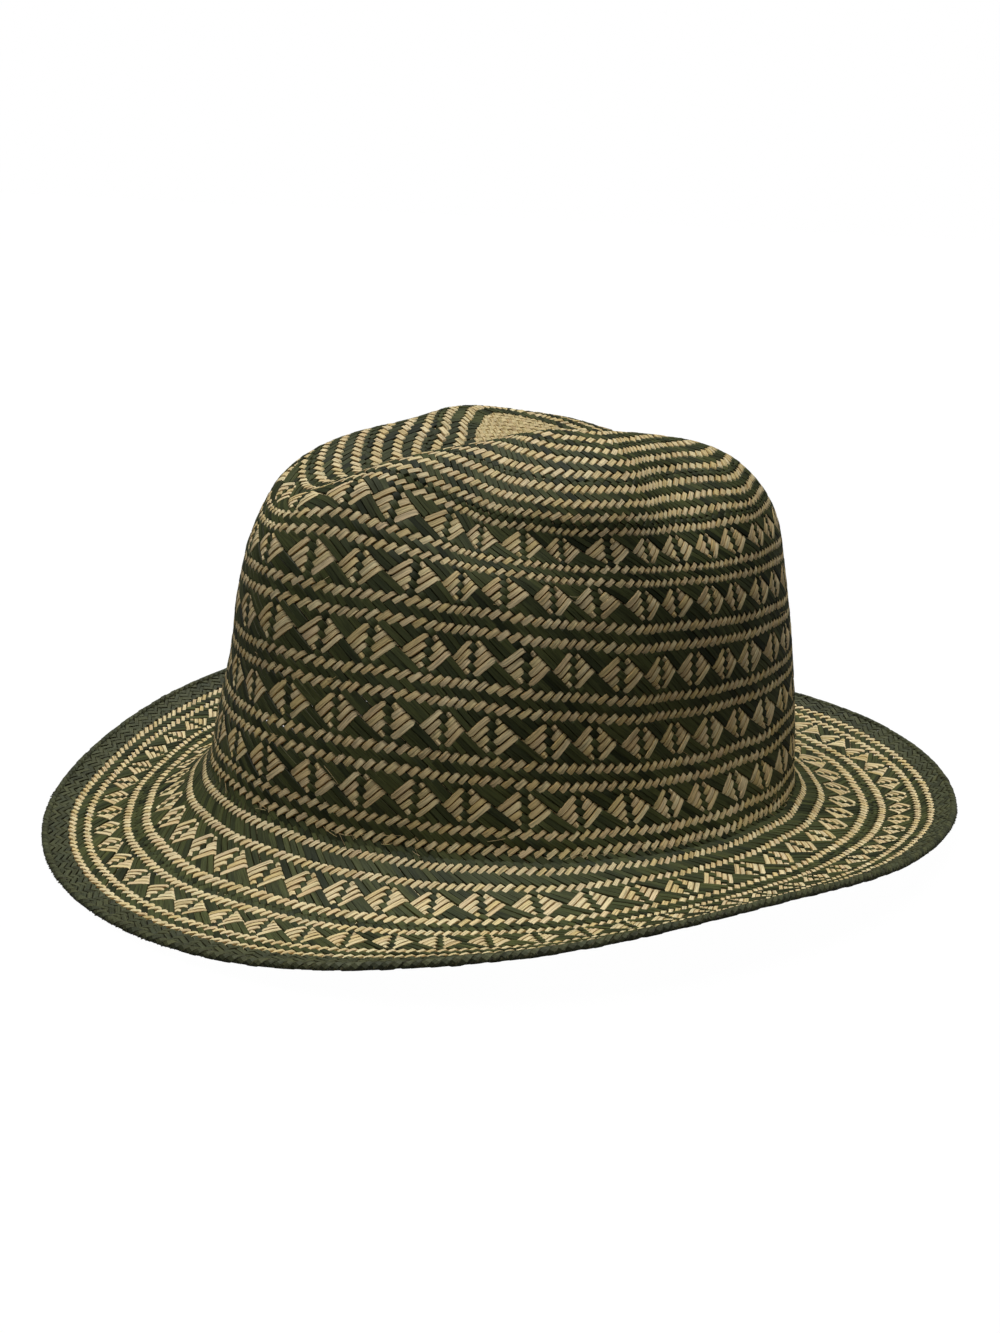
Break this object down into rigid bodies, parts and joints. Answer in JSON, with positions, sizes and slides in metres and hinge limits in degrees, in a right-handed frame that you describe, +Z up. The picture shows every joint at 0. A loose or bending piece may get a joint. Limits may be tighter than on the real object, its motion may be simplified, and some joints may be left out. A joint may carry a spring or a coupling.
{
  "type": "straw fedora hat",
  "caption": "Woven straw fedora with a creased crown, a dent in each side, a wide brim turned down in front and a rolled edge.",
  "frame": {"origin": "on the surface that the hat stands on, under the middle of its bounding box", "axes": "+Z up through the crown, -Y towards the front of the hat, +X towards the wearer's left"},
  "size_m": [0.2652, 0.3158, 0.1306],
  "materials": {
    "two_tone_weave": "matt",
    "natural_straw": "matt",
    "green_straw": "matt"
  },
  "bodies": {
    "root": {"crown": "two_tone_weave", "crown_tip": "natural_straw", "brim": "two_tone_weave", "brim_edge": "green_straw"}
  },
  "joints": []
}
